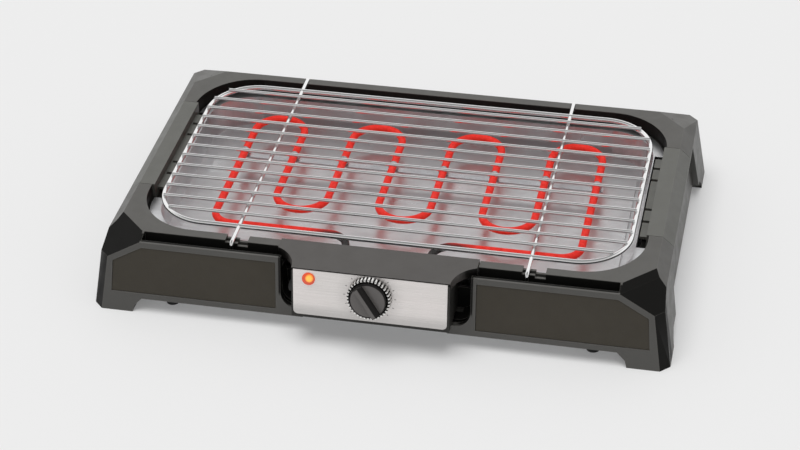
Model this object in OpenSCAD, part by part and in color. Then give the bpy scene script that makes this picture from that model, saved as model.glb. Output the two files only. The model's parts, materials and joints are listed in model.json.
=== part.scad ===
// Countertop electric grill: a housing on four feet, a lift-out drip tray, a lift-out
// control unit with its heating element, and a wire rack on top.
// X runs along the front, Y to the back and Z up. Z is zero on the table.
// Every piece is drawn about the middle of the housing, then moved by to_origin(), which
// puts the origin under the middle of the whole object.

/* [Housing] */
// Width over the feet
body_w = 561; // [520:1:620]
// Depth over the feet
body_d = 353; // [340:1:380]
// Height of the rim
body_h = 79; // [76:0.5:90]
// Millimetres that the outer walls lean inwards for each millimetre of height
wall_lean = 0.15; // [0.08:0.01:0.18]
// Wall thickness of the moulding
wall = 3; // [2.5:0.1:3.5]
// Width of the flat top of the rim
rim_w = 518; // [515:1:524]
// Depth of the flat top of the rim
rim_d = 302; // [300:1:306]
// Cut of the rim's corners, seen from above
rim_cut = 28; // [22:1:32]
// Height that the outer bevel of the rim falls
bevel_drop = 10; // [7:0.5:12]
// Cut of the foot's outer corner, seen from above
foot_cut = 9; // [6:0.5:12]
// Height where the corner's slope meets its upright strip
corner_knee = 57; // [50:1:60]
// X where the corner's slope meets the top edge of the front face
corner_face_x = 230; // [226:0.5:232]

/* [Well] */
// Width of the well's opening
well_w = 492; // [488:1:494]
// Depth of the well's opening
well_d = 282; // [278:1:284]
// Corner radius of the well's opening
well_r = 60; // [50:1:66]
// Thickness of the well's wall
well_wall = 2.5; // [2:0.1:3]
// Height of the ledge that carries the drip tray
ledge_h = 63.5; // [62:0.5:66]
// Width of that ledge
ledge_w = 8; // [6:0.5:9]
// Thickness of that ledge
ledge_t = 4; // [3:0.5:5]

/* [Front face] */
// Height of the top edge of the front face
face_h = 75.5; // [73:0.5:76]
// Thickness of the front face
face_t = 5.5; // [4.5:0.1:6.5]
// Depth of the groove between the front face and the rim
groove_drop = 17; // [10:0.5:18]
// Width of the raised border round a front panel
border = 5; // [3.5:0.5:7]
// Depth of the recess that a front panel sits in
panel_recess = 2.5; // [2:0.1:3]
// Thickness of a front panel
panel_t = 1.7; // [1.2:0.1:1.9]
// Height of the lower edge of a front panel
panel_low = 21; // [20:0.5:26]

/* [Feet] */
// Height of the skirt's lower edge over the table
skirt_gap = 15; // [13:0.5:17]
// Length of a foot along each edge of the housing
foot_len = 40; // [34:1:46]
// Cut of the inner top corner beside a foot
foot_slope = 8; // [5:0.5:10]
// Depth of the finger recess in each side, under the handle
recess_t = 6.5; // [3:0.5:7]
// Thickness of the base plate
base_t = 1.5; // [1:0.1:2]
// Distance of the rubber feet from the middle along X
rubber_x = 206; // [190:1:210]
// Distance of the rubber feet from the middle along Y
rubber_y = 153; // [148:1:157]
// Diameter of a rubber foot
rubber_dia = 15; // [12:0.5:17]

/* [Handles] */
// Y of a handle's front end
handle_front = -72; // [-80:1:-60]
// Y of a handle's back end
handle_back = 85; // [70:1:90]
// Distance of a handle's inner face from the middle
handle_in = 243.5; // [243.5:0.1:244.5]
// Height of the shelf that a handle stands on
shelf_h = 61.8; // [60:0.2:62]
// Thickness of that shelf
shelf_t = 3; // [2.5:0.1:3.5]
// Reach of a handle's slotted inner ledge
comb_reach = 7.5; // [6:0.1:7.5]
// Height of that ledge's top
comb_h = 70; // [69:0.5:72]
// Width of a slot in that ledge
slot_w = 4; // [3:0.2:6]

/* [Control bay] */
// Width of the bay in the front face
bay_w = 183; // [176:1:190]
// Height of the bay's floor
bay_low = 24; // [23:0.5:26]
// Radius of the bay's lower corners
bay_r = 14; // [8:0.5:18]
// Width of the bay where it cuts the rim
bay_rim_w = 192; // [192:1:200]
// Width of the gap in the front lip, under the control unit
lip_gap_w = 140; // [120:1:150]

/* [Control unit] */
// Width of the control box
unit_w = 151; // [148:1:156]
// Depth of the control box at the cover
unit_depth = 39; // [36:0.5:42]
// Height of the box's underside
unit_low = 30.5; // [28:0.5:32]
// Wall thickness of the box
unit_wall = 2.5; // [2:0.1:3]
// Thickness of the cover
cover_t = 3; // [2.5:0.1:3.5]
// Height that the cover stands over the rim
cover_proud = 2; // [1:0.2:3]
// Depth of the cover's full width in front of the rim
cover_shoulder = 5; // [2:0.5:8]
// Width of the face plate
plate_w = 147; // [143:0.5:147]
// Height of the face plate
plate_h = 47; // [44:0.5:48]
// Thickness of the face plate
plate_t = 1; // [0.6:0.1:1.5]
// Diameter of the pilot lens
lens_dia = 12.5; // [11:0.1:14]
// X of the pilot lens
lens_x = -58.5; // [-61:0.5:-52]
// Height of the pilot lens
lens_z = 71.5; // [66:0.5:72]

/* [Knob] */
// Diameter of the knob's ring
ring_dia = 42.5; // [39:0.5:44]
// Diameter of the knob inside its ring
knob_dia = 36; // [33:0.5:37]
// Distance that the knob stands out of the face plate
knob_proud = 14; // [13:0.5:17]
// Height of the knob's axis
knob_z = 59.5; // [58:0.5:60]
// Width of the knob's grip bar
grip_w = 8.5; // [7:0.5:11]
// Lean of the grip bar at rest, from upright towards the left
grip_lean = 33; // [0:1:40]
// Diameter of the thermostat's shaft
shaft_dia = 6; // [5:0.1:6.4]

/* [Heating element] */
// Diameter of the sheathed tube
tube_dia = 7.5; // [6.5:0.1:8.5]
// Height of the tube's axis
tube_z = 55; // [54:0.5:57]
// Distance from one leg of the element to the next
leg_pitch = 52; // [46:0.5:53]
// Y of the furthest point of the back bends, on the tube's axis
bend_back = 106; // [95:1:112]
// Y of the furthest point of the inner front bends, on the tube's axis
bend_front = -55; // [-62:1:-45]
// Y of the front runs
run_y = -90; // [-98:1:-84]
// Radius of the corners between the legs and the front runs
run_r = 20; // [14:1:22]
// Distance of the element's ends from the middle
end_x = 42; // [36:1:46]

/* [Drip tray] */
// Sheet thickness of the tray
tray_t = 1.2; // [0.8:0.1:1.6]
// Height of the tray's underside
tray_low = 30; // [28:0.5:34]
// Width of the tray's rim on the ledge
tray_lip = 10; // [9:0.5:11]
// Width of the gutter round the tray's floor
gutter_w = 16; // [10:1:22]
// Height of the raised floor inside the gutter
floor_rise = 4; // [2:0.5:6]

/* [Rack] */
// Distance from the well's edge to the frame's wire at the sides, on the wire's axis
rack_side = 16; // [15:0.5:18]
// Distance from the well's edge to the frame's wire in front and behind, on the wire's axis
rack_end = 15; // [14:0.5:17]
// Diameter of the frame's wire
frame_wire = 5; // [4:0.1:6]
// Height of the frame's wire
rack_z = 78.5; // [78:0.1:79]
// Number of bars
bar_count = 13; // [11:1:15]
// Distance from the frame's wire to the first bar
bar_margin = 16.2; // [14:0.1:18]
// Diameter of a bar
bar_wire = 3.5; // [3:0.1:4]
// Distance of the cross wires from the middle
cross_x = 142; // [130:1:150]
// Diameter of a cross wire
cross_wire = 4; // [3.5:0.1:5]
// Width of a front notch in the rim
notch_w = 22; // [16:1:26]
// Drop of the cross wire's bent front end
cross_drop = 7; // [5:0.5:9]

/* [Fasteners] */
// Diameter of a screw's shank
screw_dia = 3; // [2.5:0.1:3.5]
// Diameter of a screw's head
screw_head = 6; // [5.5:0.1:6.5]
// Thickness of a screw's head
screw_head_t = 1.8; // [1.5:0.1:2.2]

/* [Clearances] */
// Gap between pieces that are taken apart in use
lift_gap = 0.5; // [0.3:0.1:0.8]
// Gap between pieces that are fixed together
fit_gap = 0.2; // [0.1:0.05:0.3]
// Radial gap of a screw in its hole, or of the shaft in its bearing
turn_gap = 0.05; // [0.03:0.01:0.1]

/* [Hidden] */
$fn = 48;
eps = 0.01;
far = 400;

black = [0.13, 0.125, 0.12];
dark = [0.08, 0.078, 0.075];
steel = [0.72, 0.72, 0.73];
bright = [0.86, 0.86, 0.87];

lean_angle = atan(wall_lean);
corner_rim_n = (rim_w / 2 + rim_d / 2 - rim_cut) / sqrt(2);
corner_foot_n = (body_w / 2 + body_d / 2 - foot_cut) / sqrt(2);
bevel_z = body_h - bevel_drop;
corner_lean = wall_lean * sqrt(2);
groove_z = body_h - groove_drop;
corner_knee_n = corner_foot_n - corner_lean * corner_knee;
corner_face_n = (corner_face_x + body_d / 2 - wall_lean * face_h) / sqrt(2);
slope_angle = atan((face_h - corner_knee) / (face_edge_x(corner_knee) - face_edge_x(face_h)));
face_top_y = body_d / 2 - wall_lean * face_h;
ledge_under = ledge_h - ledge_t;
groove_end = corner_face_x - 1;

foot_draft = 2;
foot_x = body_w / 2 - foot_len;
foot_y = body_d / 2 - foot_len;
base_gap = 1;
button_t = 1.5;
base_z = skirt_gap + 1;
base_top = base_z + base_t;
vent_pitch_x = 34;
vent_pitch_y = 80;
vent_w = 6;
vent_len = 46;
boss_dia = 8;
screw_bite = 10;
base_boss_x = 150;
boss_from_foot = 26;
boss_y = body_d / 2 - wall_lean * groove_z - face_t - boss_dia / 2 - 1;
side_boss_x = (well_w / 2 + well_wall + body_w / 2 - wall_lean * body_h - wall - recess_t) / 2;
side_boss_y = foot_y - boss_from_foot;
recess_top = bevel_z - 1.5;
recess_half = 100;
recess_flare = 15;

handle_len = handle_back - handle_front;
handle_mid = (handle_front + handle_back) / 2;
handle_z = shelf_h + fit_gap;
handle_screw_end = 28;
handle_screw_y = handle_len / 2 - handle_screw_end;
handle_screw_x = (handle_in + wall + rim_w / 2) / 2 + 3;
comb_t = 3;
comb_end = 10;
slot_mid = handle_mid + 4;
slot_offset = 26;
slot_pair = 21;

bay_wall = 3;
bay_back_top = tube_z - 7;
unit_back = well_d / 2 + well_wall + wall;
unit_reach = unit_back + unit_depth;
cover_top = body_h + cover_proud;
unit_top = cover_top - cover_t;
unit_front = -unit_reach;
face_y = unit_front - wall_lean * (cover_top - knob_z);
plate_drop = 0.8;
plate_top = (cover_top - plate_drop - knob_z) / cos(lean_angle);
plate_r = 4.5;
lens_up = (lens_z - knob_z) / cos(lean_angle);
cover_back = well_d / 2 + lift_gap;
cover_wing = bay_rim_w / 2 - lift_gap;
cover_wing_y = rim_d / 2;
cover_skirt = 6;
sweep_x = cover_wing - unit_w / 2;
sweep_y = unit_reach - cover_wing_y - cover_shoulder;
sweep_r = (pow(sweep_x, 2) + pow(sweep_y, 2)) / (2 * sweep_x);
wing_inset = 1;
screw_roof = 1.2;
wing_low = groove_z + lift_gap;
post_x = unit_w / 2 - 6.5;
post_ys = [-unit_back - 6, unit_front + 6.5];
post_dia = 7;
post_split = unit_top - 5;

tray_lip_gap = 2;
tray_tub_w = well_w - 2 * (tray_lip + tray_lip_gap);
tray_tub_d = well_d - 2 * (tray_lip + tray_lip_gap);
tray_tub_r = well_r - tray_lip - tray_lip_gap;
tray_top = ledge_h + lift_gap + tray_t;
entry_w = 2 * end_x + 26;
comb_gap = 2;

bush_dia = 9;
thermo_w = 34;
thermo_h = 24;
tab_w = 6;
tab_len = 5;
tab_t = 0.8;
tab_x = 9;
tab_drop = 4;
bush_proud = 1.4;
thermo_y = unit_wall + fit_gap;
nut_t = 1.6;
nut_af = 13;
knob_back = -plate_t - 0.8;
knob_front = -plate_t - knob_proud;
grip_proud = 4.5;
knob_taper = 1;
grip_r = knob_dia / 2 - knob_taper;
grip_low = grip_r * cos(max(0, grip_lean - asin(grip_w / 2 / grip_r)));
pointer_w = 1.2;
pointer_len = 8;
pointer_inset = 3;
ring_t = 6.5;
flute_from = 0.8;
ring_flutes = 36;
flute_dia = 1.8;
shaft_flat = 0.8;
shaft_end = knob_front + 4;

lens_dome = 2.2;
lens_flange = 0.8;
lens_back = 3;
lamp_dia = 6;
lamp_len = 11;
lamp_pin = 2;
lamp_pin_len = 4;
lens_stem = lens_dia - 2.7;
lead_dia = 2;
lead_bead = 2.4;
lead_hold = 1;
lead_rise = 20;
lead_fall = 10;
lead_over = 11;
block_x = 34;
block_pitch = 7;
block_d = 11;
block_h = 12;
block_bore = 3;
block_z = unit_low + unit_wall + 1;
gland_y = (post_ys[0] + post_ys[1]) / 2;
gland_z = 45;
gland_dia = 11;
gland_bore = 7.2;
gland_out = 8;
clamp_w = 15;
clamp_t = 7;

seal_dia = 10.5;
seal_len = 5;
shield_t = 1.4;
shield_reach = 16;
shield_skirt = 6;
thermo_rear = 5.1;
thermo_d = unit_depth - 2 * unit_wall - shield_t - tab_len - thermo_rear;
shaft_depth = thermo_d / 2 + 0.5;
pin_dia = 3;
pin_len = 9;
end_bend_x = end_x + run_r;
brace_y = 38;
brace_w = 8;
brace_t = 1.2;
brace_over = 3;

rack_w = well_w - 2 * rack_side;
rack_d = well_d - 2 * rack_end;
rack_r = well_r - 10;
bar_pitch = (rack_d - 2 * bar_margin) / (bar_count - 1);
cross_z = rack_z;
bar_z = rack_z + frame_wire / 2 + bar_wire / 2 - 0.6;
notch_low = cross_z - cross_wire / 2 - lift_gap;
notch_left = 5;
notch_shelf = cross_wire + 8;
notch_step = 3;
cross_front = rim_d / 2 + cross_wire / 2 + 1.5;
cross_bend = 3;

// The object reaches from the lower end of the knob's grip to the back feet
grip_y = face_y + knob_front * cos(lean_angle) - grip_low * sin(lean_angle);
origin_shift = (-grip_y - body_d / 2) / 2;

// Distance of the front corner's slope from the middle, along a diagonal, at a height
function corner_n(z) =
    corner_face_n + (face_h - z) / (face_h - corner_knee) * (corner_knee_n - corner_face_n);

// X where that slope meets the front face at a height
function face_edge_x(z) = corner_n(z) * sqrt(2) - body_d / 2 + wall_lean * z;

module to_origin() {
    translate([0, origin_shift, 0]) children();
}

module mirror_x() {
    children();
    mirror([1, 0, 0]) children();
}

// Flat shape with round corners, made of squares and circles so that its edges stay true
module round_rect(w, d, r) {
    square([w - 2 * r, d], center = true);
    square([w, d - 2 * r], center = true);
    for (x = [-1, 1], y = [-1, 1]) {
        translate([x * (w / 2 - r), y * (d / 2 - r)]) circle(r = r, $fn = 96);
    }
}

module round_slab(w, d, r, low, high) {
    translate([0, 0, low]) linear_extrude(high - low) round_rect(w, d, r);
}

// A flat shape drawn in Y and Z, carried along X
module along_x(length) {
    rotate([90, 0, 90]) translate([0, 0, -length / 2]) linear_extrude(length) children();
}

// A flat shape drawn in X and Z, carried along Y from one place to another
module along_y(from, to) {
    translate([0, to, 0]) rotate([90, 0, 0]) linear_extrude(to - from) children();
}

// Outer form of the housing: four profiles that cut each other. An inset above zero
// gives the space inside the walls.
module side_profile(inset) {
    polygon([
        [-body_w / 2 + inset, -inset], [-body_w / 2 + inset + wall_lean * bevel_z, bevel_z - inset / 2],
        [-rim_w / 2 + inset / 2, body_h - inset], [rim_w / 2 - inset / 2, body_h - inset],
        [body_w / 2 - inset - wall_lean * bevel_z, bevel_z - inset / 2], [body_w / 2 - inset, -inset]
    ]);
}

module outer_depth_profile() {
    polygon([
        [-body_d / 2, 0], [-face_top_y, face_h], [-rim_d / 2, body_h],
        [rim_d / 2, body_h], [body_d / 2 - wall_lean * bevel_z, bevel_z], [body_d / 2, 0]
    ]);
}

// Groove between the front face and the rim
module front_groove() {
    along_x(2 * groove_end) polygon([
        [-face_top_y - 1, face_h], [-face_top_y + face_t - 1, face_h],
        [-face_top_y + face_t, groove_z], [-rim_d / 2, groove_z],
        [-rim_d / 2, body_h + 1], [-face_top_y - 1, body_h + 1]
    ]);
}

module inner_depth_profile() {
    polygon([
        [-body_d / 2 + face_t, -wall],
        [-body_d / 2 + face_t + wall_lean * (groove_z - wall), groove_z - wall],
        [-rim_d / 2 + wall, groove_z - wall], [-rim_d / 2 + wall, body_h - wall],
        [rim_d / 2 - wall / 2, body_h - wall],
        [body_d / 2 - wall - wall_lean * bevel_z, bevel_z - wall / 2], [body_d / 2 - wall, -wall]
    ]);
}

// Corner profile: distance out from the middle along a diagonal, and height
module corner_profile(inset) {
    foot_n = corner_foot_n - inset;
    rim_n = corner_rim_n - inset / 2;
    polygon([
        [-foot_n, -inset], [-foot_n + corner_lean * bevel_z, bevel_z - inset],
        [-rim_n, body_h - inset], [rim_n, body_h - inset],
        [corner_face_n - inset / 2, face_h - inset],
        [foot_n - corner_lean * corner_knee, corner_knee - inset], [foot_n, -inset]
    ]);
}

// Carries a corner profile along one diagonal of the housing
module along_diagonal(turn) {
    rotate([0, 0, turn]) along_y(-far, far) children();
}

module outer_form() {
    intersection() {
        along_y(-far, far) side_profile(0);
        along_x(2 * far) outer_depth_profile();
        along_diagonal(-45) corner_profile(0);
        along_diagonal(-135) corner_profile(0);
    }
}

module inner_form() {
    intersection() {
        along_y(-far, far) side_profile(wall);
        along_x(2 * far) inner_depth_profile();
        along_diagonal(-45) corner_profile(wall);
        along_diagonal(-135) corner_profile(wall);
    }
}

// Gap under the skirt between two feet, drawn in one direction and height
module foot_gap(half) {
    top_half = half - foot_draft;
    polygon([
        [-half, -1], [-top_half, skirt_gap - foot_slope], [-top_half + foot_slope, skirt_gap],
        [top_half - foot_slope, skirt_gap], [top_half, skirt_gap - foot_slope], [half, -1]
    ]);
}

module foot_gaps() {
    along_y(-far, far) foot_gap(foot_x);
    along_x(2 * far) foot_gap(foot_y);
}

// Finger recess in both sides, which flares towards the table. An edge above zero
// moves its ends and its top outwards, for the inner side of the moulding.
module side_recess(depth, edge) {
    half = recess_half + edge;
    difference() {
        along_x(2 * far) polygon([
            [handle_mid - half, recess_top + edge], [handle_mid + half, recess_top + edge],
            [handle_mid + half + recess_flare, -1], [handle_mid - half - recess_flare, -1]
        ]);
        along_y(-far, far) polygon([
            [-body_w / 2 + depth - wall_lean, -1 - eps], [-body_w / 2 + depth + wall_lean * body_h, body_h],
            [body_w / 2 - depth - wall_lean * body_h, body_h], [body_w / 2 - depth + wall_lean, -1 - eps]
        ]);
    }
}

// Hollow space of the housing: all of it above the skirt's edge, and a pocket in each foot
module hollow() {
    difference() {
        intersection() {
            inner_form();
            union() {
                translate([-far, -far, skirt_gap]) cube([2 * far, 2 * far, body_h]);
                for (x = [-1, 1], y = [-1, 1]) {
                    translate([
                        x * (foot_x + wall + far / 2), y * (foot_y + wall + far / 2), wall + body_h / 2
                    ]) {
                        cube([far, far, body_h], center = true);
                    }
                }
            }
        }
        side_recess(recess_t + wall, wall);
    }
}

// Outline of the control bay, seen from the front
module bay_outline(grow) {
    half = bay_w / 2 + grow;
    low = bay_low - grow;
    r = bay_r + grow;
    translate([-half, low + r]) square([2 * half, body_h]);
    translate([-half + r, low]) square([2 * (half - r), r + 1]);
    for (x = [-1, 1]) {
        translate([x * (half - r), low + r]) circle(r = r, $fn = 96);
    }
}

module bay_body() {
    intersection() {
        along_y(-face_top_y + face_t - 3, -well_d / 2) bay_outline(bay_wall);
        translate([-far, -far, 0]) cube([2 * far, 2 * far, groove_z]);
    }
    translate([-bay_rim_w / 2 - bay_wall, -rim_d / 2 + 1, groove_z - wall]) {
        cube([bay_rim_w + 2 * bay_wall, rim_d / 2 - well_d / 2 - 1, body_h - groove_z]);
    }
}

// Opening of the bay, with the gap in the lip under the control unit
module bay_cut() {
    translate([-lip_gap_w / 2, -far, 0]) {
        cube([lip_gap_w, far - body_d / 2 + wall_lean * bay_low + face_t + 1, bay_low - bay_wall]);
    }
    along_y(-far, -well_d / 2 - well_wall) bay_outline(0);
    translate([-bay_rim_w / 2, -rim_d / 2 - 1, groove_z]) {
        cube([bay_rim_w, (rim_d - well_d) / 2 + 2, body_h]);
    }
    translate([-bay_rim_w / 2 + bay_wall, -unit_back, bay_back_top]) {
        cube([bay_rim_w - 2 * bay_wall, unit_back, body_h]);
    }
}

// Notches in the rim for the rack's cross wires: wide in front, narrow at the back
module rack_notches() {
    for (x = [-1, 1]) {
        notch_x = x * cross_x - (x < 0 ? notch_left + 2 : notch_left);
        translate([notch_x, -rim_d / 2 - 1, notch_low]) cube([notch_w, (rim_d - well_d) / 2 + 2, body_h]);
        translate([notch_x + notch_shelf, -rim_d / 2 - 1, notch_low - notch_step]) {
            cube([notch_w - notch_shelf, (rim_d - well_d) / 2 + 2, body_h]);
        }
        translate([x * cross_x - cross_wire / 2 - lift_gap, well_d / 2 - 1, notch_low]) {
            cube([cross_wire + 2 * lift_gap, far, body_h]);
        }
    }
}

module handle_pockets() {
    mirror_x() translate([handle_in - lift_gap, handle_front, shelf_h]) {
        cube([far, handle_len, body_h]);
    }
}

module handle_shelves() {
    mirror_x() translate([handle_in - lift_gap - 3, handle_front - wall, shelf_h - shelf_t]) {
        cube([far, handle_len + 2 * wall, shelf_t]);
    }
    // End walls that close the rim on both sides of a handle
    mirror_x() for (y = [handle_front - wall, handle_back]) {
        translate([handle_in, y, shelf_h - shelf_t]) cube([far, wall, body_h]);
    }
}

// Draws its children at each screw that holds the base plate
module at_base_bosses() {
    for (x = [-1, 1], y = [-1, 1]) {
        translate([x * base_boss_x, y * boss_y, 0]) children();
        translate([x * side_boss_x, y * side_boss_y, 0]) children();
    }
}

module at_handle_screws() {
    for (y = [-1, 1]) {
        translate([handle_screw_x, handle_mid + y * handle_screw_y, 0]) children();
    }
}

// Turns flat shapes onto the leaning front face; Y of the shape is the height
module on_front_face() {
    translate([0, -body_d / 2, 0]) rotate([90 - lean_angle, 0, 0]) children();
}

// Outline of the right front panel, kept inside a border of the front face
module panel_outline(shrink) {
    edge = border + shrink;
    edge_drop = edge / cos(slope_angle);
    inner = bay_w / 2 + edge;
    outer = face_edge_x(corner_knee) - edge;
    outer_low = outer + wall_lean * (corner_knee - panel_low) / 2;
    top = face_h - edge;
    low = panel_low + shrink;
    polygon([
        [inner, low], [outer_low, low],
        [outer, corner_knee + edge * tan(slope_angle) - edge_drop],
        [face_edge_x(corner_knee) - (top + edge_drop - corner_knee) / tan(slope_angle), top],
        [inner, top]
    ]);
}

module front_panel() {
    on_front_face() translate([0, 0, -panel_recess + fit_gap / 2]) {
        linear_extrude(panel_t) panel_outline(fit_gap);
    }
}

module body_shell() {
    color(black) to_origin() difference() {
        union() {
            difference() {
                outer_form();
                hollow();
                foot_gaps();
            }
            intersection() {
                outer_form();
                union() {
                    round_slab(well_w + 2 * well_wall, well_d + 2 * well_wall, well_r + well_wall,
                        ledge_under, body_h);
                    bay_body();
                    handle_shelves();
                    at_base_bosses() translate([0, 0, base_top + fit_gap]) {
                        cylinder(d = boss_dia, h = body_h);
                    }
                }
            }
        }
        round_slab(well_w, well_d, well_r, ledge_h, body_h + 1);
        round_slab(well_w - 2 * ledge_w, well_d - 2 * ledge_w, well_r - ledge_w, ledge_under - 1, body_h);
        side_recess(recess_t, 0);
        bay_cut();
        front_groove();
        rack_notches();
        handle_pockets();
        mirror_x() on_front_face() translate([0, 0, -panel_recess]) linear_extrude(far) panel_outline(0);
        at_base_bosses() cylinder(d = screw_dia + 2 * turn_gap, h = base_top + screw_bite + 2);
        mirror_x() at_handle_screws() cylinder(d = screw_dia + 4 * fit_gap, h = body_h);
    }
}

// Hollow of the right handle, under its top and bevel
module handle_hollow() {
    along_y(handle_front + lift_gap + wall, handle_back - lift_gap - wall) polygon([
        [handle_in + wall, handle_z - 1], [handle_in + wall, body_h - wall],
        [rim_w / 2 - wall / 2, body_h - wall],
        [body_w / 2 - wall_lean * bevel_z - wall - recess_t, bevel_z - wall / 2],
        [body_w / 2 - wall_lean * bevel_z - wall - recess_t, handle_z - 1]
    ]);
}

module handle_block() {
    difference() {
        intersection() {
            outer_form();
            translate([handle_in, handle_front + lift_gap, handle_z]) {
                cube([far, handle_len - 2 * lift_gap, body_h]);
            }
        }
        side_recess(recess_t, 0);
    }
}

// Inner ledge of a handle, with two pairs of slots
module handle_comb() {
    difference() {
        translate([handle_in - comb_reach, handle_front + comb_end, comb_h - comb_t]) {
            cube([comb_reach + wall, handle_len - 2 * comb_end, comb_t]);
        }
        for (pair = [-1, 1], one = [-1, 1]) {
            translate([
                handle_in - comb_reach - 1,
                slot_mid + pair * (slot_offset + slot_pair / 2) + one * slot_pair / 2 - slot_w / 2,
                comb_h - comb_t - 1
            ]) cube([comb_reach, slot_w, comb_t + 2]);
        }
    }
}

module handle() {
    difference() {
        union() {
            difference() {
                handle_block();
                handle_hollow();
            }
            handle_comb();
            intersection() {
                handle_block();
                at_handle_screws() translate([0, 0, handle_z]) cylinder(d = boss_dia, h = body_h);
            }
        }
        at_handle_screws() cylinder(d = screw_dia + 2 * turn_gap, h = handle_z + screw_bite);
    }
}

module right_handle() {
    color(black) to_origin() handle();
}

module left_handle() {
    color(black) to_origin() mirror([1, 0, 0]) handle();
}

module front_right_panel() {
    color(dark) to_origin() front_panel();
}

module front_left_panel() {
    color(dark) to_origin() mirror([1, 0, 0]) front_panel();
}

module base_plate() {
    half_w = body_w / 2 - wall - recess_t - wall_lean * base_top - base_gap;
    half_d = body_d / 2 - face_t - wall_lean * base_top - base_gap;
    corner = (corner_foot_n - corner_lean * base_top - wall - base_gap) * sqrt(2);
    color(steel) to_origin() difference() {
        translate([0, 0, base_z]) linear_extrude(base_t) intersection() {
            square([2 * half_w, 2 * half_d], center = true);
            polygon([[corner, 0], [0, corner], [-corner, 0], [0, -corner]]);
        }
        at_base_bosses() cylinder(d = screw_dia + 4 * fit_gap, h = far);
        for (x = [-1, 1], y = [-1, 1]) {
            translate([x * rubber_x, y * rubber_y, 0]) cylinder(d = rubber_dia / 2, h = far);
        }
        // Air slots under the drip tray
        for (x = [-5 : 5], y = [-1, 0, 1]) {
            translate([x * vent_pitch_x, y * vent_pitch_y, base_z]) {
                cube([vent_w, vent_len, 3 * base_t], center = true);
            }
        }
    }
}

module rubber_feet() {
    color(dark) to_origin() for (x = [-1, 1], y = [-1, 1]) {
        translate([x * rubber_x, y * rubber_y, 0]) {
            cylinder(d1 = rubber_dia - 2, d2 = rubber_dia, h = base_z - fit_gap / 2);
            cylinder(d = rubber_dia / 2 - 2 * fit_gap, h = base_top + 1);
            // Button that holds the foot in its hole
            translate([0, 0, base_top + fit_gap / 2]) cylinder(d = rubber_dia / 2 + 2, h = button_t);
        }
    }
}

// Screw that stands with its head down at the given height
module screw(head_top, tip) {
    translate([0, 0, head_top - screw_head_t]) cylinder(d = screw_head, h = screw_head_t);
    translate([0, 0, head_top - eps]) cylinder(d = screw_dia, h = tip - head_top);
}

module base_screws() {
    color(steel) to_origin() at_base_bosses() screw(base_z - turn_gap, base_top + screw_bite);
}

module handle_screws() {
    color(steel) to_origin() mirror_x() at_handle_screws() {
        screw(shelf_h - shelf_t - turn_gap, handle_z + screw_bite - 1);
    }
}

module drip_tray() {
    lip_w = tray_tub_w + 2 * tray_lip;
    lip_d = tray_tub_d + 2 * tray_lip;
    color(bright) to_origin() difference() {
        union() {
            round_slab(lip_w, lip_d, tray_tub_r + tray_lip, tray_top - tray_t, tray_top);
            round_slab(tray_tub_w, tray_tub_d, tray_tub_r, tray_low, tray_top);
        }
        difference() {
            round_slab(tray_tub_w - 2 * tray_t, tray_tub_d - 2 * tray_t, tray_tub_r - tray_t,
                tray_low + tray_t, body_h);
            round_slab(tray_tub_w - 2 * gutter_w, tray_tub_d - 2 * gutter_w, tray_tub_r - gutter_w,
                tray_low, tray_low + tray_t + floor_rise);
        }
        round_slab(tray_tub_w - 2 * gutter_w - 2 * tray_t, tray_tub_d - 2 * gutter_w - 2 * tray_t,
            tray_tub_r - gutter_w - tray_t, tray_low - 1, tray_low + floor_rise);
        // Way in for the heating element's ends
        translate([-entry_w / 2, -far, bay_back_top]) {
            cube([entry_w, far - tray_tub_d / 2 + tray_t + 1, far]);
        }
        // Cuts that pass the handles and their inner ledges
        mirror_x() translate([
            handle_in - comb_reach - comb_gap, handle_front - comb_gap, tray_top - tray_t - eps
        ]) {
            cube([far, handle_len + 2 * comb_gap, far]);
        }
    }
}

// Plan of the cover: wide at the rim, then swept in to the width of the box
module cover_outline() {
    difference() {
        translate([-cover_wing, unit_front]) square([2 * cover_wing, unit_reach - cover_back]);
        for (x = [-1, 1]) {
            translate([x * (unit_w / 2 + sweep_r), unit_front]) circle(r = sweep_r, $fn = 128);
        }
    }
}

module control_cover() {
    color(black) to_origin() difference() {
        union() {
            // Top and the skirt of its swept part, outside the box
            difference() {
                translate([0, 0, unit_top - cover_skirt]) {
                    linear_extrude(cover_skirt + cover_t) cover_outline();
                }
                translate([-unit_w / 2 - fit_gap, unit_front - 1, 0]) {
                    cube([unit_w + 2 * fit_gap, unit_reach - cover_back + 2, unit_top + fit_gap]);
                }
            }
            // Wings that close the rim on both sides of the box
            mirror_x() translate([unit_w / 2 + fit_gap, wing_inset - cover_wing_y, wing_low]) {
                cube([
                    cover_wing - wing_inset - unit_w / 2 - fit_gap,
                    cover_wing_y - cover_back - 2 * wing_inset,
                    unit_top - wing_low + 1
                ]);
            }
            for (x = [-1, 1], y = post_ys) {
                translate([x * post_x, y, post_split + fit_gap]) {
                    cylinder(d = post_dia, h = unit_top + 1 - post_split);
                }
            }
        }
        for (x = [-1, 1], y = post_ys) {
            translate([x * post_x, y, 0]) cylinder(d = screw_dia + 2 * turn_gap, h = cover_top - screw_roof);
        }
    }
}

// Y of the box's leaning front face at a height
function box_front(z) = unit_front - wall_lean * (cover_top - z);

// Side view of the box, or of the space inside it, from one height to another
module box_profile(inset, low, high) {
    front = inset / cos(lean_angle);
    polygon([
        [box_front(low) + front, low], [box_front(high) + front, high],
        [-unit_back - inset, high], [-unit_back - inset, low]
    ]);
}

// Places its children on the box's leaning front face, at the height of the knob's axis
module at_face() {
    to_origin() translate([0, face_y, knob_z]) rotate([-lean_angle, 0, 0]) children();
}

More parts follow.
